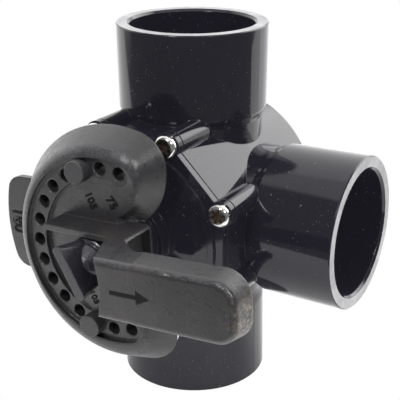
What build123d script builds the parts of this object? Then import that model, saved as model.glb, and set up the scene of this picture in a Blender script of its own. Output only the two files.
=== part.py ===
from build123d import *
import os
from math import atan, cos, degrees, radians, sin

# Three way valve, millimetres.
# Z runs up through the two in-line ports, X out through the side port, and the stem turns about Y,
# with the cover and the handle on the -Y side. Everything is built about the crossing of the port
# axes and moved up by PORT_REACH at the end, so the origin is the centre of the lower port's face.

# ports: sockets for 2 inch pipe inside, spigots for 2.5 inch fittings outside
PORT_REACH = 91.0
SPIGOT_R = 36.6
SPIGOT_ROOT_R = 36.1
SPIGOT_LENGTH = 40.5
SOCKET_R = 30.15
SOCKET_DEPTH = 38.0
SOCKET_LEAD_IN = 1.2
NECK_R = 34.3
NECK_ROOT_R = 33.4
NECK_BLEND = 4.5
WATERWAY_R = 26.5

# barrel
BARREL_R = 49.4
BARREL_FRONT = -50.0
BARREL_BACK = 40.0
CHAMBER_R = 41.0
CHAMBER_BACK = 34.0
FLAT_DISTANCE = 47.4
FLAT_TAPER = 2.6
FOOT_BOSS_R = 14.0
FOOT_BOSS_BACK = 44.0
FOOT_BEARING_END = 40.5

# cover screws and their bosses
SCREW_COUNT = 8
SCREW_CIRCLE_R = 50.0
SCREW_FIRST_ANGLE = 22.5
BOSS_R = 6.0
BOSS_STRAIGHT_END = -27.0
BOSS_BACK = -20.0
SCREW_R = 2.4
SCREW_CLEARANCE_R = 2.7
SCREW_TIP = -34.0
SCREW_HEAD_R = 5.3
SCREW_HEAD_HEIGHT = 3.5
SCREW_RECESS_R = 3.5
SCREW_RECESS_VALLEY_R = 1.9
SCREW_RECESS_DEPTH = 1.8

# cover
COVER_FRONT = -54.0
SEAM_WIDTH = 0.5
SEAM_DEPTH = 0.7
COVER_SPIGOT_R = 40.9
COVER_SPIGOT_BORE = 36.0
COVER_SPIGOT_BACK = -45.0
COVER_PAD_BACK = -48.0
COVER_BOSS_R = 17.0
COVER_BOSS_BASE_R = 19.3
COVER_BOSS_BASE_FRONT = -60.0
COVER_BOSS_FRONT = -66.0
COVER_RING_R = 43.2
COVER_RING_FRONT = -55.2
COVER_SEAL_STEP_R = 44.3
COVER_SEAL_STEP_BACK = -47.0
COVER_SEAL_SECTION = 1.5

# stop lug on the cover, which the stop pins come up against
LUG_RADIUS = 38.6
LUG_DEPTH = 9.0
LUG_HALF = 7.0
LUG_FRONT = -64.0

# stem and its seals
STEM_R = 9.0
RUNNING_GAP = 0.05
STEM_SHOULDER = -67.0
STEM_FRONT = -79.8
STEM_HALF_FLAT = 6.2
STEM_FLANGE_R = 13.0
STEM_FLANGE_FRONT = -46.5
STEM_FLANGE_BACK = -43.5
STEM_KEY = 12.0
STEM_KEY_BACK = -36.0
O_RING_SECTION = 1.0
O_RING_GROOVE = 2.2
INNER_O_RING = -53.0
OUTER_O_RING = -58.0
BUSH_WALL = 1.5
STEM_BUSH_BACK = -61.5
WASHER_R = 15.0

# diverter
DISC_R = 40.3
TOP_DISC_FRONT = -42.9
TOP_DISC_BACK = -38.4
BOTTOM_DISC_FRONT = 30.0
BOTTOM_DISC_BACK = 33.0
DIVERTER_HUB_R = 17.0
WALL_OUTER = 38.6
WALL_INNER = 34.2
WALL_HALF_ANGLE = 47.0
SEAL_BAND = 6.0
SEAL_GAP = 0.05
TRUNNION_R = 8.0
TRUNNION_BACK = 39.5

# handle: u runs along the lever and w across it; the lever rests this far above the side port
HANDLE_TILT = 3.3
RIM_R = 55.7
RIM_FRONT = -78.5
RIM_BACK = -64.0
RIM_DRAFT = 30.0
RIM_ROUND = 8.0
HORN_END = 27.1
HORN_STRAIGHT = 36.9
HORN_SWEEP_R = 30.0
HORN_CORNER = 17.0
LOWER_LOBE_U = 1.0
LOWER_LOBE_W = -2.6
HORN_ROOT = 14.0
HORN_ROOT_HALF = 12.4
RIM_WALL = 3.0
PLATE_BACK = -71.0
DISH_FLAT_R = 32.0
DISH_CREST_R = 45.5
TRACK_FRONT = -76.0
TRACK_R = 44.1
TRACK_ANGLE = 105.0
FLOOR_FRONT = -73.7
FLOOR_R = 34.4
FLOOR_END = 6.0
HOLE_COUNT = 15
HOLE_PITCH = 15.0
HOLE_CIRCLE_R = 38.6
HOLE_R = 3.0
HOLE_EDGE = 0.45
HOLE_RING_WIDTH = 9.6
HOLE_RING_BACK = -66.5
HUB_R = 13.0
HUB_FRONT = -84.0
HUB_WEB = 4.0
RIB_ANGLES = (37.5, 82.5, 277.5, 322.5)
RIB_WIDTH = 1.8
RIB_INNER = 12.0
RIB_OUTER = 51.0

# lever, which stands forward of the disc on an arm
FIN_START = -24.2
FIN_FRONT_START = -88.4
FIN_FRONT_END = -91.0
FIN_WALL = 2.6
ARM_HALF = 14.0
ARM_START = 12.0
ARM_HOLLOW = 15.6
ARM_BACK = 22.0
ARM_END = 38.0
ARM_CORNER = 2.5
ARM_WALL = 1.5
ARM_POCKET_DEPTH = 5.0
LEVER_FRONT = -112.0
LEVER_BACK = -100.6
LEVER_HALF = 13.4
LEVER_START = 20.0
LEVER_HOLLOW = 22.0
LEVER_TIP = 85.3
LEVER_FLARE = 1.8
LEVER_EDGE = 2.8
LEVER_TIP_CORNER = 9.6
LEVER_SHOULDER = 12.0
LEVER_WALL = 2.8

# tail tab, which carries the mark for the closed port
TAB_R = 69.6
TAB_HALF = 23.5
TAB_FRONT = -61.4
TAB_BACK = -58.3
TAB_CORNER = 8.0
TAB_RISER_R = 52.5
TAB_RISER_FRONT = -69.0

# lock knob, its stud and washer
KNOB_TILT = 30.4
KNOB_R = 11.2
KNOB_BACK = -84.8
KNOB_FLANGE_FRONT = -89.6
WING_FRONT = -104.0
WING_LENGTH = 26.0
WING_WIDTH = 4.8
WING_ROOT_WIDTH = 8.6
WING_ROOT_LENGTH = 21.0
STUD_R = 2.95
STUD_FRONT = -98.0
STUD_BACK = -67.5
STUD_CLEARANCE_R = 3.4
INSERT_R = 4.2
INSERT_BACK = -66.5
KNOB_WASHER_R = 10.5

# stop pins
PIN_ANGLE = 75.0
PIN_HEAD_R = 5.3
PIN_HEAD_FRONT = -81.8
PIN_R = 2.95
PIN_TIP = -60.5


def front_plane(y):
    """Plane square to the stem, seen from the handle side: local x is X, local y is Z."""
    return Plane(origin=(0, y, 0), x_dir=(1, 0, 0), z_dir=(0, -1, 0))


def slab(sketch, back, front, taper=0.0):
    """A sketch in X and Z raised from y=back to y=front, towards the handle side."""
    return extrude(front_plane(back) * sketch, amount=back - front, taper=taper)


def rod(radius, back, front, x=0.0, z=0.0):
    return slab(Pos(x, z) * Circle(radius), back, front)


def tube(outer, inner, back, front):
    return slab(Circle(outer) - Circle(inner), back, front)


def turned(points):
    """A solid turned about the stem axis from (radius, y) points."""
    return revolve(make_face(Polyline(*points, close=True)), axis=Axis.Y)


def polar(radius, angle):
    return (radius * cos(radians(angle)), radius * sin(radians(angle)))


def wedge(half_angle, reach):
    """A flat sector centred on -X, used to cut rings into arcs."""
    rim = [polar(reach, 180 - half_angle + 2 * half_angle * i / 8) for i in range(9)]
    return make_face(Polyline((0, 0), *rim, close=True))


def screw_places():
    step = 360.0 / SCREW_COUNT
    return [polar(SCREW_CIRCLE_R, SCREW_FIRST_ANGLE + step * i) for i in range(SCREW_COUNT)]


def hole_angles():
    first = 180 - HOLE_PITCH * (HOLE_COUNT - 1) / 2
    return [first + HOLE_PITCH * i for i in range(HOLE_COUNT)]


def with_handle(shape):
    """Turns a piece built along X to where the handle rests."""
    return Rot(0, -HANDLE_TILT, 0) * shape


# ---- body ----

def port_directions():
    return [Rot(0, 0, 0), Rot(180, 0, 0), Rot(0, 90, 0)]


def port_outside():
    root = PORT_REACH - SPIGOT_LENGTH
    points = [
        (0, 0),
        (NECK_ROOT_R, 0),
        (NECK_R, root - NECK_BLEND),
        (NECK_R + 0.5, root - 0.6 * NECK_BLEND),
        (SPIGOT_ROOT_R - 0.4, root - 0.2 * NECK_BLEND),
        (SPIGOT_ROOT_R, root + 0.4),
        (SPIGOT_R, PORT_REACH - 0.5),
        (SPIGOT_R - 0.5, PORT_REACH),
        (0, PORT_REACH),
    ]
    outline = make_face(Polyline(*points, close=True))
    return revolve(Plane.XZ * outline, axis=Axis.Z)


def port_inside():
    floor = PORT_REACH - SOCKET_DEPTH
    points = [
        (0, 0),
        (WATERWAY_R, 0),
        (WATERWAY_R, floor),
        (SOCKET_R, floor),
        (SOCKET_R, PORT_REACH - SOCKET_LEAD_IN),
        (SOCKET_R + SOCKET_LEAD_IN, PORT_REACH),
        (0, PORT_REACH),
    ]
    outline = make_face(Polyline(*points, close=True))
    return revolve(Plane.XZ * outline, axis=Axis.Z)


def octagon(distance):
    return RegularPolygon(radius=distance, side_count=8, major_radius=False, rotation=22.5)


def screw_boss(x, z):
    nose = BOSS_BACK - BOSS_STRAIGHT_END
    shape = turned([
        (0, BARREL_FRONT),
        (BOSS_R, BARREL_FRONT),
        (BOSS_R, BOSS_STRAIGHT_END),
        (0.88 * BOSS_R, BOSS_STRAIGHT_END + 0.5 * nose),
        (0.6 * BOSS_R, BOSS_STRAIGHT_END + 0.85 * nose),
        (0, BOSS_BACK),
    ])
    return Pos(x, 0, z) * shape


def valve_body():
    barrel = rod(BARREL_R, BARREL_BACK, BARREL_FRONT)
    back_edge = barrel.edges().sort_by(Axis.Y)[-1]
    barrel = fillet(back_edge, 4.0)
    flats = extrude(
        Plane(origin=(0, BARREL_FRONT, 0), x_dir=(1, 0, 0), z_dir=(0, 1, 0)) * octagon(FLAT_DISTANCE),
        amount=BARREL_BACK - BARREL_FRONT,
        taper=-FLAT_TAPER,
    )
    shape = barrel & flats
    for x, z in screw_places():
        shape = shape + screw_boss(x, z)
    for way in port_directions():
        shape = shape + way * port_outside()
    shape = shape + rod(FOOT_BOSS_R, FOOT_BOSS_BACK, BARREL_BACK - 1)
    shape = shape - rod(CHAMBER_R, CHAMBER_BACK, BARREL_FRONT)
    shape = shape - rod(COVER_SEAL_STEP_R, COVER_SEAL_STEP_BACK, BARREL_FRONT)
    for way in port_directions():
        shape = shape - way * port_inside()
    shape = shape - rod(TRUNNION_R + RUNNING_GAP + BUSH_WALL, FOOT_BEARING_END, CHAMBER_BACK)
    for x, z in screw_places():
        shape = shape - rod(SCREW_R, SCREW_TIP + 1.0, BARREL_FRONT, x, z)
    return shape


# ---- cover ----

def cover():
    plate = octagon(FLAT_DISTANCE)
    for x, z in screw_places():
        plate = plate + Pos(x, z) * Circle(BOSS_R)
    shape = slab(plate, BARREL_FRONT - SEAM_WIDTH, COVER_FRONT)
    shape = shape + slab(offset(plate, -SEAM_DEPTH), BARREL_FRONT, BARREL_FRONT - SEAM_WIDTH)
    shape = shape + tube(COVER_SPIGOT_R, COVER_SPIGOT_BORE, COVER_SPIGOT_BACK, BARREL_FRONT)
    shape = shape + rod(WASHER_R + 1.0, COVER_PAD_BACK, BARREL_FRONT)
    shape = shape + tube(COVER_RING_R, COVER_RING_R - 3.2, COVER_FRONT, COVER_RING_FRONT)
    shape = shape + rod(COVER_BOSS_BASE_R, COVER_FRONT, COVER_BOSS_BASE_FRONT)
    shape = shape + rod(COVER_BOSS_R, COVER_FRONT, COVER_BOSS_FRONT)
    lug = Pos(-LUG_RADIUS, 0) * RectangleRounded(LUG_DEPTH, 2 * LUG_HALF, 1.5)
    shape = shape + slab(lug, COVER_FRONT, LUG_FRONT)
    shape = shape - rod(STEM_R + RUNNING_GAP, COVER_PAD_BACK, COVER_BOSS_FRONT)
    for y in (INNER_O_RING, OUTER_O_RING):
        half = O_RING_GROOVE / 2
        shape = shape - rod(STEM_R + 2 * O_RING_SECTION + RUNNING_GAP, y + half, y - half)
    shape = shape - rod(STEM_R + RUNNING_GAP + BUSH_WALL, STEM_BUSH_BACK, COVER_BOSS_FRONT)
    for x, z in screw_places():
        shape = shape - rod(SCREW_CLEARANCE_R, BARREL_FRONT, COVER_FRONT, x, z)
    return shape


def ring_seal(radius, section, y):
    return Pos(0, y, 0) * Rot(90, 0, 0) * Torus(radius, section)


def cover_o_ring():
    radius = (COVER_SPIGOT_R + COVER_SEAL_STEP_R) / 2
    return ring_seal(radius, COVER_SEAL_SECTION, BARREL_FRONT + COVER_SEAL_SECTION)


def stem_o_ring(y):
    return ring_seal(STEM_R + RUNNING_GAP + O_RING_SECTION, O_RING_SECTION, y)


def star_recess():
    """Six-pointed drive outline with blunt points."""
    points = []
    for i in range(6):
        points.append(polar(SCREW_RECESS_R, 60 * i - 7))
        points.append(polar(SCREW_RECESS_R, 60 * i + 7))
        points.append(polar(SCREW_RECESS_VALLEY_R, 60 * i + 30))
    return make_face(Polyline(*points, close=True))


def cover_screw(x, z):
    head = rod(SCREW_HEAD_R, COVER_FRONT, COVER_FRONT - SCREW_HEAD_HEIGHT)
    head = fillet(head.edges().sort_by(Axis.Y)[0], 1.9)
    top = COVER_FRONT - SCREW_HEAD_HEIGHT
    head = head - slab(star_recess(), top + SCREW_RECESS_DEPTH, top)
    shank = rod(SCREW_R, SCREW_TIP, COVER_FRONT)
    shank = chamfer(shank.edges().sort_by(Axis.Y)[-1], 0.8)
    return Pos(x, 0, z) * Rot(0, degrees(0.3 * (x + z)), 0) * (head + shank)


def cover_screws():
    return Compound([cover_screw(x, z).solids()[0] for x, z in screw_places()])


# ---- stem and diverter ----

def flat_sided(radius, half_flat):
    return Circle(radius) & Rectangle(3 * radius, 2 * half_flat)


def stem():
    shape = rod(STEM_R, STEM_FLANGE_BACK, STEM_SHOULDER)
    shape = shape + rod(STEM_FLANGE_R, STEM_FLANGE_BACK, STEM_FLANGE_FRONT)
    shape = shape + slab(Rectangle(STEM_KEY, STEM_KEY), STEM_KEY_BACK, STEM_FLANGE_BACK)
    shape = shape + slab(flat_sided(STEM_R, STEM_HALF_FLAT), STEM_SHOULDER, STEM_FRONT)
    return shape - rod(INSERT_R, INSERT_BACK, STEM_FRONT)


def stem_insert():
    return tube(INSERT_R, STUD_R + RUNNING_GAP, INSERT_BACK, STEM_FRONT)


def stem_washer():
    return tube(WASHER_R, STEM_R + 0.15, STEM_FLANGE_FRONT, COVER_PAD_BACK)


def stem_bush():
    inner = STEM_R + RUNNING_GAP
    return tube(inner + BUSH_WALL, inner, STEM_BUSH_BACK, COVER_BOSS_FRONT)


def foot_bush():
    inner = TRUNNION_R + RUNNING_GAP
    return tube(inner + BUSH_WALL, inner, FOOT_BEARING_END, CHAMBER_BACK)


def foot_washer():
    return tube(WASHER_R - 1.0, TRUNNION_R + 0.15, CHAMBER_BACK, BOTTOM_DISC_BACK)


def diverter():
    shape = rod(DISC_R, TOP_DISC_BACK, TOP_DISC_FRONT)
    shape = shape + rod(DIVERTER_HUB_R, TOP_DISC_BACK + 4.5, STEM_FLANGE_FRONT + 0.3)
    shape = shape + rod(DISC_R, BOTTOM_DISC_BACK, BOTTOM_DISC_FRONT)
    shape = shape + rod(TRUNNION_R, TRUNNION_BACK, BOTTOM_DISC_FRONT)
    wall = (Circle(WALL_OUTER) - Circle(WALL_INNER)) & wedge(WALL_HALF_ANGLE, 60)
    shape = shape + slab(wall, BOTTOM_DISC_FRONT, TOP_DISC_BACK)
    shape = shape - rod(STEM_FLANGE_R + RUNNING_GAP, STEM_FLANGE_BACK, STEM_FLANGE_FRONT)
    socket = Rectangle(STEM_KEY + 0.1, STEM_KEY + 0.1)
    shape = shape - slab(socket, STEM_KEY_BACK + 0.5, STEM_FLANGE_BACK)
    return shape


def diverter_seal():
    outer = CHAMBER_R - SEAL_GAP
    band = Circle(outer) - Circle(WALL_OUTER)
    band_angle = degrees(SEAL_BAND / outer)
    full = slab(band & wedge(WALL_HALF_ANGLE, 60), BOTTOM_DISC_FRONT - 0.5, TOP_DISC_BACK + 0.5)
    window = slab(
        wedge(WALL_HALF_ANGLE - band_angle, 60),
        BOTTOM_DISC_FRONT - 0.5 - SEAL_BAND,
        TOP_DISC_BACK + 0.5 + SEAL_BAND,
    )
    return full - window


# ---- handle ----

def disc_outline():
    """C-shaped outline of the disc in u and w: open towards the lever, a little deeper below."""
    turn = HORN_SWEEP_R * (1 - cos(radians(30)))
    drop = HORN_SWEEP_R * sin(radians(30))
    notch = [Line((70, -70), (70, 70))]
    for side in (1, -1):
        notch.append(Line((70, 70 * side), (HORN_END, 70 * side)))
        notch.append(Line((HORN_END, 70 * side), (HORN_END, HORN_STRAIGHT * side)))
        start = (HORN_END, HORN_STRAIGHT * side)
        middle = (HORN_END - turn, (HORN_STRAIGHT - drop) * side)
        notch.append(ThreePointArc(start, middle, (HORN_ROOT, HORN_ROOT_HALF * side)))
    notch.append(Line((HORN_ROOT, HORN_ROOT_HALF), (HORN_ROOT, -HORN_ROOT_HALF)))
    lobe = Pos(LOWER_LOBE_U, LOWER_LOBE_W) * Circle(RIM_R)
    disc = make_hull(Circle(RIM_R).edges() + lobe.edges())
    outline = disc - make_face(notch)
    corners = [v for v in outline.vertices() if abs(v.Y) > 45.0 and v.X > 20.0]
    return fillet(corners, HORN_CORNER)


def disc_shell():
    solid = slab(disc_outline(), RIM_BACK, RIM_FRONT, RIM_DRAFT)
    front = solid.faces().sort_by(Axis.Y)[0]
    root = front.edges().filter_by(Axis.Z).sort_by(Axis.X)[0]
    rounded = [e for e in front.edges() if abs(e.center().X - root.center().X) > 0.01]
    return fillet(rounded, RIM_ROUND)


def dish_cut():
    """Shallow cone that falls from the rim's crest to the level of the hole track."""
    return turned([
        (0, TRACK_FRONT),
        (DISH_FLAT_R, TRACK_FRONT),
        (DISH_CREST_R, RIM_FRONT - 0.01),
        (DISH_CREST_R, RIM_FRONT - 5),
        (0, RIM_FRONT - 5),
    ])


def track_cut():
    track = Circle(TRACK_R) & wedge(TRACK_ANGLE / 2, 90)
    track = track + (Circle(TRACK_R) & (Rot(0, 0, 52.5) * wedge(TRACK_ANGLE / 2, 90)))
    track = track + (Circle(TRACK_R) & (Rot(0, 0, -52.5) * wedge(TRACK_ANGLE / 2, 90)))
    for side in (1, -1):
        u, w = polar(HOLE_CIRCLE_R, 180 + side * TRACK_ANGLE)
        track = track + Pos(u, w) * Circle(TRACK_R - HOLE_CIRCLE_R)
    return slab(track, TRACK_FRONT, RIM_FRONT - 5)


def floor_cut():
    """Deepest at the edge under the hole track and rising to the track's level past the hub."""
    side = [
        (-FLOOR_R, FLOOR_FRONT),
        (FLOOR_END, TRACK_FRONT),
        (FLOOR_END, RIM_FRONT - 5),
        (-FLOOR_R, RIM_FRONT - 5),
    ]
    sunk = extrude(make_face(Polyline(*side, close=True)), amount=FLOOR_R, both=True)
    return sunk & rod(FLOOR_R, FLOOR_FRONT, RIM_FRONT - 5)


def underside_cut():
    inner = offset(disc_outline(), -RIM_WALL)
    return slab(inner, RIM_BACK, PLATE_BACK, RIM_DRAFT)


def underside_ribs():
    ribs = []
    for angle in RIB_ANGLES:
        rib = Pos((RIB_INNER + RIB_OUTER) / 2, 0) * Rectangle(RIB_OUTER - RIB_INNER, RIB_WIDTH)
        ribs.append(slab(Rot(0, 0, 180 + angle) * rib, PLATE_BACK + 4.0, PLATE_BACK - 0.5))
    return ribs


def hole_ring():
    """Thick arc behind the disc that gives the stop holes their depth."""
    half = HOLE_RING_WIDTH / 2
    arc = Circle(HOLE_CIRCLE_R + half) - Circle(HOLE_CIRCLE_R - half)
    arc = arc & (Pos(-HOLE_CIRCLE_R, 0) * Rectangle(2 * HOLE_CIRCLE_R + 34.0, 120.0))
    return slab(arc, HOLE_RING_BACK, PLATE_BACK - 0.5)


def hole_cutter():
    """A stop hole with its mouth eased at the level of the track."""
    return turned([
        (0, HOLE_RING_BACK + 1.0),
        (HOLE_R, HOLE_RING_BACK + 1.0),
        (HOLE_R, TRACK_FRONT + HOLE_EDGE),
        (HOLE_R + HOLE_EDGE, TRACK_FRONT),
        (HOLE_R + HOLE_EDGE, RIM_FRONT - 1.0),
        (0, RIM_FRONT - 1.0),
    ])


def fin():
    """Tall rib along the upper side of the hub, rising to the lever's arm."""
    points = [
        (FIN_START, FLOOR_FRONT + 1.0),
        (FIN_START, FIN_FRONT_START),
        (ARM_START + 2.0, FIN_FRONT_END),
        (ARM_START + 2.0, FLOOR_FRONT + 1.0),
    ]
    side = make_face(Polyline(*points, close=True))
    wall = extrude(side, amount=FIN_WALL)
    return Pos(0, 0, ARM_HALF - FIN_WALL) * wall


def lower_fin():
    points = [
        (6.0, FLOOR_FRONT + 1.0),
        (6.0, FIN_FRONT_END + 0.4),
        (ARM_START + 2.0, FIN_FRONT_END),
        (ARM_START + 2.0, FLOOR_FRONT + 1.0),
    ]
    side = make_face(Polyline(*points, close=True))
    return Pos(0, 0, -ARM_HALF) * extrude(side, amount=FIN_WALL)


def hollow_end(start, hollow, half, end):
    """Outline with a hollowed left end facing the knob."""
    left = ThreePointArc((start, -half), (hollow, 0), (start, half))
    top = Line((start, half), (end, half))
    right = Line((end, half), (end, -half))
    bottom = Line((end, -half), (start, -half))
    return make_face([left, top, right, bottom])


def arm_pocket():
    """Hollow in the side of the arm's foot that faces away from the knob, split by a slanting rib."""
    middle = (PLATE_BACK + FIN_FRONT_END) / 2
    depth = PLATE_BACK - FIN_FRONT_END - 2 * ARM_WALL
    room = Box(2 * ARM_POCKET_DEPTH, depth, 2 * (ARM_HALF - ARM_WALL))
    rib = Rot(38, 0, 0) * Box(2 * ARM_POCKET_DEPTH, 1.6, 4 * ARM_HALF)
    return Pos(ARM_BACK, middle, 0) * (room - rib)


def arm():
    foot = hollow_end(ARM_START, ARM_HOLLOW, ARM_HALF, ARM_BACK)
    foot = fillet([v for v in foot.vertices() if v.X > ARM_BACK - 1.0], ARM_CORNER)
    low = slab(foot, PLATE_BACK, FIN_FRONT_END) - arm_pocket()
    bottom = front_plane(FIN_FRONT_END) * hollow_end(ARM_START, ARM_HOLLOW, ARM_HALF, ARM_END)
    top = front_plane(LEVER_FRONT) * hollow_end(LEVER_START, LEVER_HOLLOW, LEVER_HALF, ARM_END)
    rise = loft([bottom, top])
    long_edges = rise.edges().filter_by(Axis.X).group_by(Axis.Y)[0]
    rise = fillet(long_edges, LEVER_EDGE)
    corner = [
        (ARM_BACK, FIN_FRONT_END + 1.0),
        (ARM_BACK, FIN_FRONT_END),
        (24.6, -94.4),
        (28.0, -97.0),
        (33.0, LEVER_BACK + 1.6),
        (40.0, LEVER_BACK + 1.6),
        (40.0, FIN_FRONT_END + 1.0),
    ]
    under = extrude(make_face(Polyline(*corner, close=True)), amount=20.0, both=True)
    return low + (rise - under)


def lever_outline(half, start, tip, corner, waist=0.0):
    """Straight sides with a blunt rounded tip; the root end can be narrower by a waist."""
    shoulder = start + LEVER_SHOULDER
    points = [(start, waist - half), (shoulder, -half), (tip, -half)]
    mirrored = [(u, -w) for u, w in reversed(points)]
    outline = make_face(Polyline(*points, *mirrored, close=True))
    return fillet([v for v in outline.vertices() if v.X > tip - 1.0], corner)


def lever():
    back_half = LEVER_HALF + LEVER_FLARE
    tip = LEVER_TIP + LEVER_FLARE
    corner = LEVER_TIP_CORNER + LEVER_FLARE
    outline = lever_outline(back_half, LEVER_START + 6.0, tip, corner, LEVER_FLARE)
    taper = degrees(atan(LEVER_FLARE / (LEVER_BACK - LEVER_FRONT)))
    blade = slab(outline, LEVER_BACK, LEVER_FRONT, taper)
    front = blade.faces().sort_by(Axis.Y)[0]
    rim = [e for e in front.edges() if e.center().X > LEVER_START + 10.0]
    return fillet(rim, LEVER_EDGE)


def lever_pocket():
    inner = lever_outline(LEVER_HALF - 1.4, ARM_BACK + 14.0, LEVER_TIP - 1.8, LEVER_TIP_CORNER - 1.8)
    pocket = slab(inner, LEVER_BACK, LEVER_FRONT + LEVER_WALL)
    for u in (50.0, 66.0):
        pocket = pocket - Pos(u, (LEVER_BACK + LEVER_FRONT) / 2, 0) * Box(2.0, 30.0, 40.0)
    return pocket


def tab():
    """Tail tab with a rounded end, and the riser that sets it back from the disc."""
    plate = Circle(TAB_R) & (Pos(-TAB_R, 0) * Rectangle(2 * TAB_R, 2 * TAB_HALF))
    plate = fillet([v for v in plate.vertices() if v.X < -50.0], TAB_CORNER)
    riser = Circle(TAB_RISER_R) & (Pos(-TAB_R, 0) * Rectangle(2 * TAB_R, 2 * TAB_HALF))
    inner = Circle(TAB_RISER_R - RIM_WALL)
    return slab(plate - inner, TAB_BACK, TAB_FRONT) + slab(riser - inner, TAB_BACK, TAB_RISER_FRONT)


def handle():
    shape = disc_shell() - dish_cut() - track_cut() - floor_cut() - underside_cut()
    for rib in underside_ribs():
        shape = shape + rib
    shape = shape + hole_ring()
    shape = shape - rod(COVER_BOSS_R + 1.0, RIM_BACK + 1.0, COVER_BOSS_FRONT - 0.8)
    shape = shape + rod(HUB_R, STEM_SHOULDER, HUB_FRONT)
    shape = shape + fin() + lower_fin() + arm() + lever() + tab()
    shape = shape - lever_pocket()
    bore = flat_sided(STEM_R + RUNNING_GAP, STEM_HALF_FLAT + RUNNING_GAP)
    shape = shape - slab(bore, STEM_SHOULDER, HUB_FRONT + HUB_WEB)
    shape = shape - rod(STUD_CLEARANCE_R, STEM_SHOULDER, HUB_FRONT)
    for angle in hole_angles():
        u, w = polar(HOLE_CIRCLE_R, angle)
        shape = shape - Pos(u, 0, w) * hole_cutter()
    return shape


# ---- knob and pins ----

def wing():
    root = front_plane(KNOB_FLANGE_FRONT + 1.5) * SlotOverall(WING_ROOT_LENGTH, WING_ROOT_WIDTH)
    tip = front_plane(WING_FRONT) * SlotOverall(WING_LENGTH, WING_WIDTH)
    return loft([root, tip])


def lock_knob():
    flange = rod(KNOB_R, KNOB_BACK, KNOB_FLANGE_FRONT)
    flange = fillet(flange.edges().sort_by(Axis.Y)[0], 2.6)
    crown = turned([
        (0, KNOB_FLANGE_FRONT + 1.0),
        (9.0, KNOB_FLANGE_FRONT + 1.0),
        (8.6, KNOB_FLANGE_FRONT - 1.2),
        (7.2, KNOB_FLANGE_FRONT - 3.6),
        (5.0, KNOB_FLANGE_FRONT - 6.0),
        (2.6, KNOB_FLANGE_FRONT - 7.6),
        (0, KNOB_FLANGE_FRONT - 8.2),
    ])
    grip = Rot(0, 90 - KNOB_TILT + 90 + 90, 0) * wing()
    shape = flange + crown + grip
    return shape - rod(STUD_R, KNOB_BACK, STUD_FRONT)


def knob_stud():
    shape = rod(STUD_R, STUD_BACK, STUD_FRONT)
    return chamfer(shape.edges().sort_by(Axis.Y)[-1], 0.6)


def knob_washer():
    return tube(KNOB_WASHER_R, STUD_CLEARANCE_R, HUB_FRONT, KNOB_BACK)


def stop_pin(angle):
    u, w = polar(HOLE_CIRCLE_R, angle)
    head = rod(PIN_HEAD_R, TRACK_FRONT, PIN_HEAD_FRONT)
    head = fillet(head.edges().sort_by(Axis.Y)[0], 0.5)
    shank = rod(PIN_R, PIN_TIP, TRACK_FRONT)
    shank = chamfer(shank.edges().sort_by(Axis.Y)[-1], 0.5)
    return Pos(u, 0, w) * (head + shank)


def pieces():
    return {
        "valve_body": valve_body(),
        "cover": cover(),
        "cover_screws": cover_screws(),
        "cover_o_ring": cover_o_ring(),
        "stem": with_handle(stem()),
        "stem_insert": stem_insert(),
        "stem_washer": stem_washer(),
        "stem_bush": stem_bush(),
        "stem_o_ring_inner": stem_o_ring(INNER_O_RING),
        "stem_o_ring_outer": stem_o_ring(OUTER_O_RING),
        "diverter": with_handle(diverter()),
        "diverter_seal": with_handle(diverter_seal()),
        "foot_bush": foot_bush(),
        "foot_washer": foot_washer(),
        "handle": with_handle(handle()),
        "lock_knob": lock_knob(),
        "knob_stud": knob_stud(),
        "knob_washer": knob_washer(),
        "stop_pin_upper": with_handle(stop_pin(180 - PIN_ANGLE)),
        "stop_pin_lower": with_handle(stop_pin(180 + PIN_ANGLE)),
    }


os.makedirs("parts", exist_ok=True)
for name, shape in pieces().items():
    export_step(Pos(0, 0, PORT_REACH) * shape, "parts/" + name + ".step")
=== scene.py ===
import math

import bpy
from mathutils import Matrix, Vector


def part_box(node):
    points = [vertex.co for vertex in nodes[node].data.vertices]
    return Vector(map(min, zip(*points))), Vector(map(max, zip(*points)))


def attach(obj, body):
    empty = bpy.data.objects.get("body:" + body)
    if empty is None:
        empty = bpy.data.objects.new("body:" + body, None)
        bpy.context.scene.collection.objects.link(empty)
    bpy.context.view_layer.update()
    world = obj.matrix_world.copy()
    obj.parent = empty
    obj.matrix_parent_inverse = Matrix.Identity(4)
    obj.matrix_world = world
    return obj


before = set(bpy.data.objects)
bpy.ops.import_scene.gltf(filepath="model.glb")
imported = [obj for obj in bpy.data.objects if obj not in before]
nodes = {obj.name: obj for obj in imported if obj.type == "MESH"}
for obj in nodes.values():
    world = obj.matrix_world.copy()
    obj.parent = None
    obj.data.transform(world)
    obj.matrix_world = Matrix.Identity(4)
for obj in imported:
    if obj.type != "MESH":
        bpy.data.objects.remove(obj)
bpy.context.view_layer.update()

# ---- places taken from the frame ----

BODY_LOW, BODY_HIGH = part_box("valve_body")
CENTRE = Vector((0.0, 0.0, (BODY_LOW.z + BODY_HIGH.z) / 2))

# ---- camera: at this azimuth and elevation, looking just past the crossing of the ports ----

CAMERA_AZIMUTH = math.radians(30.67)
CAMERA_ELEVATION = math.radians(21.13)
CAMERA_ROLL = math.radians(0.296)
CAMERA_DISTANCE = 0.50613
CAMERA_LENS = 89.28
AIM_RIGHT = 0.003232
AIM_DOWN = 0.000893


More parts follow.
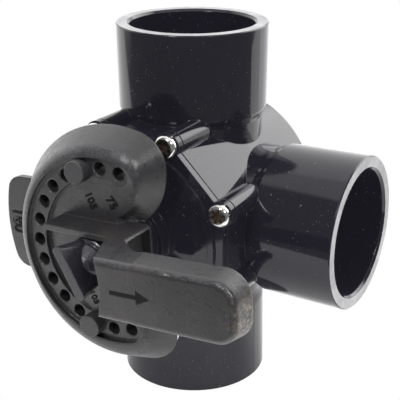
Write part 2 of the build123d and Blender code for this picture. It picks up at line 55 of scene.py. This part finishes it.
def make_camera():
    data = bpy.data.cameras.new("camera")
    data.lens = CAMERA_LENS
    data.sensor_width = 36.0
    data.clip_start = 0.01
    camera = bpy.data.objects.new("camera", data)
    bpy.context.scene.collection.objects.link(camera)
    a, e, r = CAMERA_AZIMUTH, CAMERA_ELEVATION, CAMERA_ROLL
    back = Vector((math.sin(a) * math.cos(e), -math.cos(a) * math.cos(e), math.sin(e)))
    level_right = (-back).cross(Vector((0, 0, 1))).normalized()
    level_down = (-back).cross(level_right)
    right = level_right * math.cos(r) + level_down * math.sin(r)
    down = level_down * math.cos(r) - level_right * math.sin(r)
    place = CENTRE + back * CAMERA_DISTANCE + right * AIM_RIGHT + down * AIM_DOWN
    turn = Matrix((right, -down, back)).transposed().to_4x4()
    camera.matrix_world = Matrix.Translation(place) @ turn
    bpy.context.scene.camera = camera


# ---- the handle's own frame: u along the lever, w across it, about the stem ----

HANDLE_TILT = math.radians(3.3)
LEVER_FRONT_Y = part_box("handle")[0].y
# the scuffs at the lever's tip: their middle (u, y, w), their outer radius, and the radius within
# which they are full
SCUFF_MIDDLE = (0.0868, -0.1015, -0.003)
SCUFF_REACH = 0.015
SCUFF_CORE = 0.004
SCUFF_TAN = (0.42, 0.36, 0.27, 1.0)
RUB_BROWN = (0.070, 0.058, 0.050, 1.0)


def handle_direction(u, w):
    c, s = math.cos(HANDLE_TILT), math.sin(HANDLE_TILT)
    return Vector((u * c - w * s, 0.0, u * s + w * c))


def handle_point(u, y, w):
    return handle_direction(u, w) + Vector((0.0, y, CENTRE.z))


# ---- node helpers for materials ----

class Nodes:
    """A node tree and short calls that add and join its nodes."""

    def __init__(self, tree, coordinates):
        self.tree = tree
        self.coords = tree.nodes.new("ShaderNodeTexCoord").outputs[coordinates]

    def node(self, kind, **settings):
        made = self.tree.nodes.new(kind)
        for key, value in settings.items():
            setattr(made, key, value)
        return made

    def link(self, a, b):
        self.tree.links.new(a, b)

    def scaled(self, scale):
        mapping = self.node("ShaderNodeMapping")
        mapping.inputs["Scale"].default_value = scale
        self.link(self.coords, mapping.inputs["Vector"])
        return mapping.outputs["Vector"]

    def noise(self, scale, detail=3.0, rough=0.55, vector=None):
        made = self.node("ShaderNodeTexNoise")
        made.inputs["Scale"].default_value = scale
        made.inputs["Detail"].default_value = detail
        made.inputs["Roughness"].default_value = rough
        self.link(vector or self.coords, made.inputs["Vector"])
        return made.outputs["Fac"]

    def specks(self, scale, core, edge):
        """Round specks at scattered points: 1 within core of a point, 0 beyond edge."""
        made = self.node("ShaderNodeTexVoronoi")
        made.inputs["Scale"].default_value = scale
        self.link(self.coords, made.inputs["Vector"])
        return self.ramp(made.outputs["Distance"], [(core, 1.0), (edge, 0.0)])

    def ramp(self, value, stops):
        made = self.node("ShaderNodeValToRGB")
        ramp = made.color_ramp
        while len(ramp.elements) < len(stops):
            ramp.elements.new(0.5)
        for element, (place, grey) in zip(ramp.elements, stops):
            element.position = place
            colour = grey if isinstance(grey, tuple) else (grey, grey, grey)
            element.color = (*colour, 1.0)
        self.link(value, made.inputs["Fac"])
        return made.outputs["Color"]

    def mix(self, factor, a, b):
        made = self.node("ShaderNodeMix", data_type="RGBA")
        for key, value in (("Factor", factor), ("A", a), ("B", b)):
            socket = [s for s in made.inputs if s.name == key and s.enabled][0]
            if hasattr(value, "is_output"):
                self.link(value, socket)
            else:
                socket.default_value = value
        return [s for s in made.outputs if s.enabled][0]

    def math(self, operation, a, b):
        made = self.node("ShaderNodeMath", operation=operation)
        for socket, value in zip(made.inputs, (a, b)):
            if hasattr(value, "is_output"):
                self.link(value, socket)
            else:
                socket.default_value = value
        return made.outputs[0]

    def smooth_step(self, value, low, high):
        made = self.node("ShaderNodeMapRange", interpolation_type="SMOOTHSTEP")
        made.inputs["From Min"].default_value = low
        made.inputs["From Max"].default_value = high
        self.link(value, made.inputs["Value"])
        return made.outputs["Result"]

    def along(self, vector, direction):
        """How far a vector reaches along a direction."""
        made = self.node("ShaderNodeVectorMath", operation="DOT_PRODUCT")
        self.link(vector, made.inputs[0])
        if hasattr(direction, "is_output"):
            self.link(direction, made.inputs[1])
        else:
            made.inputs[1].default_value = direction
        return made.outputs["Value"]


# cosines between a bevelled normal and its face, where the edge mask starts and where it is full
EDGE_TURN = (0.985, 0.86)
# how far a normal points to -Y where the crest mask rises from 0 to 1, and where it falls again
CREST_RISE = (0.52, 0.66)
CREST_FALL = (0.985, 0.93)


class Shader(Nodes):
    """A material on the Principled shader."""

    def __init__(self, name):
        self.material = bpy.data.materials.new(name)
        self.material.use_nodes = True
        super().__init__(self.material.node_tree, "Object")
        self.principled = self.tree.nodes["Principled BSDF"]

    def eased_edges(self, radius):
        """Normals that round the edges off, and a mask that is 1 along those edges."""
        bevel = self.node("ShaderNodeBevel", samples=6)
        bevel.inputs["Radius"].default_value = radius
        facing = self.node("ShaderNodeNewGeometry").outputs["Normal"]
        turned = self.along(bevel.outputs["Normal"], facing)
        return bevel.outputs["Normal"], self.smooth_step(turned, *EDGE_TURN)

    def rounded_crest(self):
        """1 where a surface turns from a side wall to a face towards -Y: fillets and the rim; the
        mask of the painted highlight specks.
        """
        normal = self.node("ShaderNodeNewGeometry").outputs["Normal"]
        facing = self.along(normal, (0.0, -1.0, 0.0))
        rising = self.smooth_step(facing, *CREST_RISE)
        return self.math("MULTIPLY", rising, self.smooth_step(facing, *CREST_FALL))

    def bump(self, height, strength, distance, normal=None):
        made = self.node("ShaderNodeBump")
        made.inputs["Strength"].default_value = strength
        made.inputs["Distance"].default_value = distance
        self.link(height, made.inputs["Height"])
        if normal is not None:
            self.link(normal, made.inputs["Normal"])
        return made.outputs["Normal"]

    def glow(self, colour, strength):
        self.principled.inputs["Emission Color"].default_value = (*colour, 1.0)
        socket = self.principled.inputs["Emission Strength"]
        if hasattr(strength, "is_output"):
            self.link(strength, socket)
        else:
            socket.default_value = strength

    def set(self, **values):
        names = {
            "colour": "Base Color",
            "rough": "Roughness",
            "metal": "Metallic",
            "normal": "Normal",
            "specular": "Specular IOR Level",
        }
        for key, value in values.items():
            socket = self.principled.inputs[names[key]]
            if hasattr(value, "is_output"):
                self.link(value, socket)
            elif key == "colour":
                socket.default_value = (*value, 1.0)
            else:
                socket.default_value = value


# ---- materials ----

BLACK_DARK = (0.0075, 0.0070, 0.0110)
BLACK_LIGHT = (0.0115, 0.0108, 0.0160)
DUST = (0.13, 0.125, 0.125, 1.0)
# the black plastic's faint even light, which stands in for the haze of a lens
LENS_VEIL = (0.0066, 0.0063, 0.0092)
BLACK_EDGE = 0.0005


def gloss_black():
    """Polished black pipe plastic with dust specks, fine scratches and slightly wavy walls."""
    s = Shader("gloss_black")
    rounded, edge = s.eased_edges(BLACK_EDGE)
    tint = s.noise(9.0, 4.0)
    base = s.ramp(tint, [(0.3, BLACK_DARK), (0.7, BLACK_LIGHT)])
    patches = s.ramp(s.noise(38.0, 5.0, 0.7), [(0.42, 0.0), (0.58, 1.0)])
    fine = s.specks(620.0, 0.09, 0.20)
    chosen = s.ramp(s.noise(260.0, 2.0), [(0.48, 0.0), (0.56, 1.0)])
    coarse = s.specks(240.0, 0.06, 0.12)
    few = s.ramp(s.noise(120.0, 2.0), [(0.52, 0.0), (0.58, 1.0)])
    dust = s.math("MULTIPLY", s.math("MULTIPLY", fine, patches), chosen)
    dust = s.math("MAXIMUM", dust, s.math("MULTIPLY", coarse, few))
    streaks = s.noise(1.0, 2.0, 0.6, s.scaled((1500.0, 900.0, 40.0)))
    scratch = s.ramp(streaks, [(0.70, 0.0), (0.75, 1.0)])
    scratch = s.math("MULTIPLY", scratch, patches)
    marks = s.math("MAXIMUM", dust, s.math("MULTIPLY", scratch, 0.25))
    marks = s.math("MAXIMUM", marks, s.math("MULTIPLY", edge, 0.10))
    colour = s.mix(marks, base, DUST)
    rough = s.ramp(s.noise(70.0, 6.0, 0.65), [(0.35, 0.06), (0.75, 0.15)])
    rough = s.math("ADD", rough, s.math("MULTIPLY", marks, 0.4))
    wave = s.bump(s.noise(22.0, 2.0), 0.08, 0.0010, rounded)
    grain = s.bump(s.noise(900.0, 2.0), 0.04, 0.0002, wave)
    s.set(colour=colour, rough=rough, normal=grain, specular=0.5)
    s.glow(LENS_VEIL, 1.0)
    return s.material


# painted light: the ports' end faces are coloured pale grey for the light they catch, not for a
# colour of their own
END_FACE_DARK = (0.30, 0.30, 0.31)
END_FACE_LIGHT = (0.42, 0.42, 0.44)
END_FACE_LIT_PATCH = (0.50, 0.50, 0.51, 1.0)


def end_face():
    """Moulded end face of a port: the same plastic, coloured pale grey as painted light for the
    light it catches.
    """
    s = Shader("port_end_face")
    mottle = s.noise(420.0, 4.0, 0.7)
    clouds = s.noise(60.0, 4.0, 0.6)
    colour = s.ramp(mottle, [(0.30, END_FACE_DARK), (0.70, END_FACE_LIGHT)])
    # painted light: paler patches over the painted pale grey
    colour = s.mix(s.smooth_step(clouds, 0.40, 0.66), colour, END_FACE_LIT_PATCH)
    rough = s.ramp(s.noise(200.0, 3.0), [(0.3, 0.38), (0.7, 0.55)])
    normal = s.bump(s.noise(700.0, 4.0), 0.25, 0.0002)
    s.set(colour=colour, rough=rough, normal=normal)
    return s.material


GREY_EDGE = 0.0007
# how much more a rounded crest is paled than a sharp edge, and how much paler the plastic is made
# there: partly wear, partly painted highlight
CREST_WEAR_AND_HIGHLIGHT = 1.5
WEAR_AND_HIGHLIGHT_LIFT = 2.8


def grained_plastic(
    name, dark, light, grain=2300.0, depth=0.35, rough=(0.40, 0.58), wear_and_highlight=0.5, specular=0.75
):
    """Moulded dark grey plastic with a spark-eroded grain, painted paler along its edges and on
    crests facing -Y: partly wear, partly painted highlight.
    """
    s = Shader(name)
    rounded, edge = s.eased_edges(GREY_EDGE)
    cloud = s.noise(30.0, 5.0, 0.6)
    base = s.ramp(cloud, [(0.30, dark), (0.72, light)])
    bright = s.specks(1500.0, 0.06, 0.20)
    chosen = s.ramp(s.noise(700.0, 2.0), [(0.56, 0.0), (0.66, 1.0)])
    bright = s.math("MULTIPLY", s.math("MULTIPLY", bright, chosen), 0.35)
    broken = s.ramp(s.noise(420.0, 4.0, 0.7), [(0.38, 0.25), (0.60, 1.0)])
    # partly wear, partly painted highlight: the edges are made paler, as worn plastic and for the
    # light that edges catch
    wear_and_painted_highlight = s.math("MULTIPLY", s.math("MULTIPLY", edge, broken), wear_and_highlight)
    # partly rubbing wear, partly painted highlight: pale specks on rounded crests that face -Y,
    # such as the rim
    crest_rub_and_highlight = s.ramp(s.noise(850.0, 3.0, 0.8), [(0.44, 0.0), (0.62, 1.0)])
    crest_rub_and_highlight = s.math("MULTIPLY", s.math("MULTIPLY", s.rounded_crest(), crest_rub_and_highlight), wear_and_highlight * CREST_WEAR_AND_HIGHLIGHT)
    wear_and_painted_highlight = s.math("MAXIMUM", wear_and_painted_highlight, crest_rub_and_highlight)
    paler = tuple(channel * WEAR_AND_HIGHLIGHT_LIFT for channel in light)
    colour = s.mix(s.math("MAXIMUM", bright, wear_and_painted_highlight), base, (*paler, 1.0))
    gloss = s.ramp(s.noise(240.0, 4.0, 0.6), [(0.3, rough[0]), (0.7, rough[1])])
    gloss = s.math("SUBTRACT", gloss, s.math("MULTIPLY", edge, 0.12))
    fine = s.noise(grain, 3.0, 0.7)
    coarse = s.noise(grain * 0.35, 2.0)
    normal = s.bump(fine, depth, 0.00022, rounded)
    normal = s.bump(coarse, depth * 0.8, 0.0004, normal)
    s.set(colour=colour, rough=gloss, normal=normal, specular=specular)
    s.colour = colour
    return s


def scuff_tip(s):
    """Pale tan scuffs round the lever's tip, and a faint brown rub over the handle."""
    away = s.node("ShaderNodeVectorMath", operation="DISTANCE")
    s.link(s.coords, away.inputs[0])
    away.inputs[1].default_value = handle_point(*SCUFF_MIDDLE)
    near = s.smooth_step(away.outputs["Value"], SCUFF_REACH, SCUFF_CORE)
    patchy = s.ramp(s.noise(520.0, 6.0, 0.8), [(0.46, 0.0), (0.66, 1.0)])
    scuffed = s.math("MULTIPLY", s.math("MULTIPLY", near, patchy), 0.95)
    rub = s.smooth_step(s.noise(55.0, 5.0, 0.65), 0.48, 0.72)
    colour = s.mix(s.math("MULTIPLY", rub, 0.40), s.colour, RUB_BROWN)
    s.set(colour=s.mix(scuffed, colour, SCUFF_TAN))


def chrome():
    s = Shader("screw_chrome")
    stain = s.noise(420.0, 4.0, 0.6)
    colour = s.ramp(stain, [(0.35, (0.72, 0.70, 0.67)), (0.70, (0.92, 0.91, 0.90))])
    rough = s.ramp(s.noise(900.0, 3.0), [(0.3, 0.10), (0.75, 0.24)])
    s.set(colour=colour, rough=rough, metal=1.0, normal=s.bump(stain, 0.08, 0.0002))
    return s.material


def recess_brown():
    s = Shader("recess_soiled")
    colour = s.ramp(s.noise(1500.0, 3.0), [(0.3, (0.05, 0.03, 0.02)), (0.7, (0.16, 0.10, 0.07))])
    s.set(colour=colour, rough=0.55, metal=0.3)
    return s.material


def brass():
    s = Shader("machined_brass")
    rings = s.noise(1.0, 2.0, 0.5, s.scaled((60.0, 2600.0, 60.0)))
    colour = s.ramp(rings, [(0.3, (0.55, 0.39, 0.16)), (0.7, (0.74, 0.55, 0.26))])
    s.set(colour=colour, rough=0.28, metal=1.0, normal=s.bump(rings, 0.15, 0.0001))
    return s.material


def rubber():
    s = Shader("seal_rubber")
    colour = s.ramp(s.noise(300.0, 4.0), [(0.3, (0.012, 0.012, 0.012)), (0.7, (0.03, 0.03, 0.03))])
    s.set(colour=colour, rough=0.62, normal=s.bump(s.noise(1200.0, 3.0), 0.2, 0.0002))
    return s.material


def bearing_white():
    s = Shader("bearing_plastic")
    colour = s.ramp(s.noise(90.0, 4.0), [(0.3, (0.62, 0.60, 0.55)), (0.7, (0.74, 0.72, 0.67))])
    s.set(colour=colour, rough=0.42, normal=s.bump(s.noise(900.0, 3.0), 0.1, 0.0002))
    return s.material


# ---- assigning materials ----

def paint(name, material):
    mesh = nodes[name].data
    mesh.materials.clear()
    mesh.materials.append(material)


def paint_faces(name, material, chosen):
    """Gives the faces for which chosen(centre, normal) holds a second material."""
    mesh = nodes[name].data
    mesh.materials.append(material)
    slot = len(mesh.materials) - 1
    for face in mesh.polygons:
        if chosen(face.center, face.normal):
            face.material_index = slot


# a face belongs to a port's end if it lies this near to it and looks this squarely out of the port
END_NEAR = 0.0004
END_SQUARE = 0.9


def port_end(centre, normal):
    top = abs(centre.z - BODY_HIGH.z) < END_NEAR and normal.z > END_SQUARE
    bottom = abs(centre.z - BODY_LOW.z) < END_NEAR and normal.z < -END_SQUARE
    side = abs(centre.x - BODY_HIGH.x) < END_NEAR and normal.x > END_SQUARE
    return top or bottom or side


# darkest and lightest tone of each grey plastic
HANDLE_TONES = (0.025, 0.024, 0.0265), (0.044, 0.042, 0.0455)
PIN_TONES = (0.036, 0.035, 0.038), (0.054, 0.052, 0.056)
KNOB_TONES = (0.020, 0.019, 0.025), (0.032, 0.030, 0.038)
DIVERTER_TONES = (0.020, 0.020, 0.022), (0.035, 0.035, 0.038)
MARK_TONES = (0.010, 0.010, 0.010), (0.018, 0.017, 0.018)


def dress_cad():
    black = gloss_black()
    handle_grey = grained_plastic(
        "handle_plastic", *HANDLE_TONES, grain=1900.0, depth=0.30, rough=(0.24, 0.40)
    )
    pin_grey = grained_plastic("pin_plastic", *PIN_TONES, grain=1500.0, depth=0.2)
    knob_grey = grained_plastic(
        "knob_plastic", *KNOB_TONES, grain=3000.0, depth=0.10, rough=(0.20, 0.30)
    )
    inner = grained_plastic("diverter_plastic", *DIVERTER_TONES)
    white, seal, metal = bearing_white(), rubber(), brass()
    for name in ("valve_body", "cover"):
        paint(name, black)
    paint_faces("valve_body", end_face(), port_end)
    scuff_tip(handle_grey)
    paint("handle", handle_grey.material)
    for name in ("stop_pin_upper", "stop_pin_lower"):
        paint(name, pin_grey.material)
    paint("lock_knob", knob_grey.material)
    paint("cover_screws", chrome())
    paint_faces("cover_screws", recess_brown(), in_recess)
    for name in ("stem", "diverter"):
        paint(name, inner.material)
    for name in ("cover_o_ring", "stem_o_ring_inner", "stem_o_ring_outer", "diverter_seal"):
        paint(name, seal)
    for name in ("stem_washer", "stem_bush", "foot_bush", "foot_washer", "knob_washer"):
        paint(name, white)
    for name in ("stem_insert", "knob_stud"):
        paint(name, metal)


SCREW_FRONT_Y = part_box("cover_screws")[0].y
SCREW_CIRCLE = 0.050
SCREW_COUNT = 8
SCREW_FIRST_ANGLE = 22.5
# the recess in a screw's head lies between these depths below its crown, within this radius
RECESS_DEPTHS = (0.0002, 0.0022)
RECESS_RADIUS = 0.0036


def screw_centres():
    for i in range(SCREW_COUNT):
        angle = math.radians(SCREW_FIRST_ANGLE + 360.0 / SCREW_COUNT * i)
        yield SCREW_CIRCLE * math.cos(angle), CENTRE.z + SCREW_CIRCLE * math.sin(angle)


def in_recess(centre, normal):
    shallow, deep = RECESS_DEPTHS
    if not SCREW_FRONT_Y + shallow < centre.y < SCREW_FRONT_Y + deep:
        return False
    return any(math.hypot(centre.x - x, centre.z - z) < RECESS_RADIUS for x, z in screw_centres())


SHARP_ANGLE = math.radians(32.0)


def smooth(cad_node):
    mesh = cad_node.data
    mesh.polygons.foreach_set("use_smooth", [True] * len(mesh.polygons))
    mesh.set_sharp_from_angle(angle=SHARP_ANGLE)


# ---- raised marks on the handle ----

# how far a mark stands out of its face, and how far it reaches below
MARK_HEIGHT = 0.0003
# the arrow lies on the foremost face of the whole valve, so it hardly stands proud
ARROW_HEIGHT = 0.00004
MARK_SINK = 0.0001
# the dial's floor slopes along u; its two ends as (u, y)
DIAL_DEEP = (-0.0344, -0.0737)
DIAL_LEVEL = (0.0060, -0.0760)
TAB_FRONT_Y = -0.0614
# a digit's height as a share of the font's size, and how much its strokes are thickened
DIGIT_SHARE = 0.72
DIGIT_BOLD = 0.04
# text, height, y of the face if it isn't the dial's floor, centre (u, w), reading direction (u, w)
NUMERALS = (
    ("105", 0.0040, None, (-0.0068, 0.0229), (3.5, -7.6)),
    ("75", 0.0044, None, (0.0050, 0.0235), (4.2, -6.4)),
    ("105", 0.0034, None, (-0.0104, -0.0252), (2.8, -5.6)),
    ("180", 0.0062, TAB_FRONT_Y, (-0.0640, 0.0004), (0.0, -1.0)),
)
ARROW = (
    (0.0270, -0.0010), (0.0400, -0.0010), (0.0400, -0.0032), (0.0465, 0.0),
    (0.0400, 0.0032), (0.0400, 0.0010), (0.0270, 0.0010),
)


def dial_slope():
    (deep_u, deep_y), (level_u, level_y) = DIAL_DEEP, DIAL_LEVEL
    return (level_y - deep_y) / (level_u - deep_u)


def dial_y(u):
    return DIAL_DEEP[1] + (u - DIAL_DEEP[0]) * dial_slope()


def facing_viewer(place, reading, slope=0.0):
    """Lays a flat piece on a face towards -Y that slopes along u, to read along a direction."""
    along_u = (handle_direction(1.0, 0.0) + Vector((0.0, slope, 0.0))).normalized()
    out = along_u.cross(handle_direction(0.0, 1.0))
    u, w = Vector(reading).normalized()
    across = along_u * u + handle_direction(0.0, w)
    turn = Matrix((across, out.cross(across), out)).transposed().to_4x4()
    return Matrix.Translation(place) @ turn


def add_mark(name, curve, place, reading, material, slope=0.0, height=MARK_HEIGHT):
    curve.dimensions = "2D"
    curve.extrude = (height + MARK_SINK) / 2
    curve.materials.append(material)
    mark = bpy.data.objects.new(name, curve)
    bpy.context.scene.collection.objects.link(mark)
    mark.matrix_world = facing_viewer(place, reading, slope)
    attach(mark, "rotor")


def add_numerals(material):
    middle = (MARK_HEIGHT - MARK_SINK) / 2
    for index, (text, height, face, (u, w), reading) in enumerate(NUMERALS):
        curve = bpy.data.curves.new(f"numeral_{index}", "FONT")
        curve.body = text
        curve.size = height / DIGIT_SHARE
        curve.align_x = "CENTER"
        curve.align_y = "CENTER"
        curve.offset = height * DIGIT_BOLD
        slope = 0.0 if face else dial_slope()
        place = handle_point(u, (face or dial_y(u)) - middle, w)
        add_mark(f"numeral_{index}", curve, place, reading, material, slope)


def add_arrow(material):
    curve = bpy.data.curves.new("arrow", "CURVE")
    outline = curve.splines.new("POLY")
    outline.points.add(len(ARROW) - 1)
    for point, (u, w) in zip(outline.points, ARROW):
        point.co = (u, w, 0.0, 1.0)
    outline.use_cyclic_u = True
    curve.fill_mode = "BOTH"
    middle = (ARROW_HEIGHT - MARK_SINK) / 2
    place = handle_point(0.0, LEVER_FRONT_Y - middle, 0.0)
    add_mark("arrow", curve, place, (1.0, 0.0), material, height=ARROW_HEIGHT)


# ---- floor and studio light ----

# the camera's axis laid on the floor, from the camera to the valve, and the direction to its right
AXIS = Vector((-math.sin(CAMERA_AZIMUTH), math.cos(CAMERA_AZIMUTH), 0.0))
ACROSS = Vector((math.cos(CAMERA_AZIMUTH), math.sin(CAMERA_AZIMUTH), 0.0))

# corners of the floor sheet, as distances along the axis and to its right
SHEET_OUTLINE = (
    (-0.20, -0.36), (-0.20, 0.40), (0.05, 0.42), (0.10, 0.74),
    (1.60, 1.70), (1.60, -1.70), (0.50, -0.80), (0.05, -0.42),
)
# the sheet's own light, for everything but the camera
SHEET_GLOW = 0.12
SHEET_DARK = (0.90, 0.90, 0.90)
SHEET_LIGHT = (0.94, 0.94, 0.94)

# strengths of the backdrop, the overhead softbox, the lamp behind, the small lamps and the front
BACK_LEVEL = 1.5
TOP_LEVEL = 1.05
REAR_LEVEL = 2.8
KEY_LEVEL = 26.0
FRONT_LEVEL = 0.20
REAR_LAMP = Vector((0.36, 0.80, 0.476)).normalized()
KEY_LAMPS = (
    (AXIS * -0.62 - ACROSS * 0.42 + Vector((0.0, 0.0, 0.66))).normalized(),
    (AXIS * -0.70 + ACROSS * 0.40 + Vector((0.0, 0.0, 0.59))).normalized(),
)
# where each light starts and where it is full, as the cosine of the angle to the axis, to straight
# up (twice) and to the middle of each lamp
BACK_DEPTH = (0.08, 0.34)
BACK_HEIGHT = (-0.30, -0.10)
TOP_EDGE = (0.80, 0.85)
REAR_EDGE = (0.88, 0.97)
KEY_EDGE = (0.992, 0.996)


def studio_floor():
    """White translucent sheet, lit faintly from below; the camera sees it burnt out to white."""
    s = Shader("studio_floor")
    seen = s.node("ShaderNodeLightPath").outputs["Is Camera Ray"]
    colour = s.ramp(s.noise(3.0, 2.0), [(0.3, SHEET_DARK), (0.7, SHEET_LIGHT)])
    s.set(colour=s.mix(seen, colour, (0.0, 0.0, 0.0, 1.0)), rough=0.9, specular=0.0)
    glow = s.math("MAXIMUM", seen, SHEET_GLOW)
    s.glow((1.0, 1.0, 1.0), glow)
    return s.material


def make_floor():
    mesh = bpy.data.meshes.new("floor")
    corners = [AXIS * depth + ACROSS * side for depth, side in SHEET_OUTLINE]
    mesh.from_pydata(corners, [], [tuple(range(len(corners)))])
    floor = bpy.data.objects.new("floor", mesh)
    mesh.materials.append(studio_floor())
    bpy.context.scene.collection.objects.link(floor)


def make_studio():
    """A white backdrop, a wide softbox overhead, a lamp behind, and two small ones in a dim front.

    The camera sees plain white instead.
    """
    world = bpy.data.worlds.new("studio")
    world.use_nodes = True
    s = Nodes(world.node_tree, "Generated")
    height = s.along(s.coords, (0.0, 0.0, 1.0))
    depth = s.along(s.coords, tuple(AXIS))
    backdrop = s.math(
        "MULTIPLY", s.smooth_step(depth, *BACK_DEPTH), s.smooth_step(height, *BACK_HEIGHT)
    )
    backdrop = s.math("MULTIPLY", backdrop, BACK_LEVEL)
    overhead = s.math("MULTIPLY", s.smooth_step(height, *TOP_EDGE), TOP_LEVEL)
    rear = s.smooth_step(s.along(s.coords, tuple(REAR_LAMP)), *REAR_EDGE)
    rear = s.math("MULTIPLY", rear, REAR_LEVEL)
    level = s.math("ADD", s.math("MAXIMUM", backdrop, overhead), rear)
    level = s.math("MAXIMUM", level, FRONT_LEVEL)
    for direction in KEY_LAMPS:
        key = s.smooth_step(s.along(s.coords, tuple(direction)), *KEY_EDGE)
        level = s.math("ADD", level, s.math("MULTIPLY", key, KEY_LEVEL))
    seen = s.node("ShaderNodeLightPath").outputs["Is Camera Ray"]
    lit = s.math("MULTIPLY", level, s.math("SUBTRACT", 1.0, seen))
    level = s.math("MAXIMUM", seen, lit)
    backing = s.tree.nodes["Background"]
    backing.inputs["Color"].default_value = (1.0, 1.0, 1.0, 1.0)
    s.link(level, backing.inputs["Strength"])
    bpy.context.scene.world = world
    view = bpy.context.scene.view_settings
    view.view_transform = "Standard"
    view.look = "None"


make_camera()
dress_cad()
mark_plastic = grained_plastic(
    "mark_plastic", *MARK_TONES, rough=(0.6, 0.75), wear_and_highlight=0.1, specular=0.2
).material
add_numerals(mark_plastic)
add_arrow(mark_plastic)
for cad_node in nodes.values():
    smooth(cad_node)
make_floor()
make_studio()
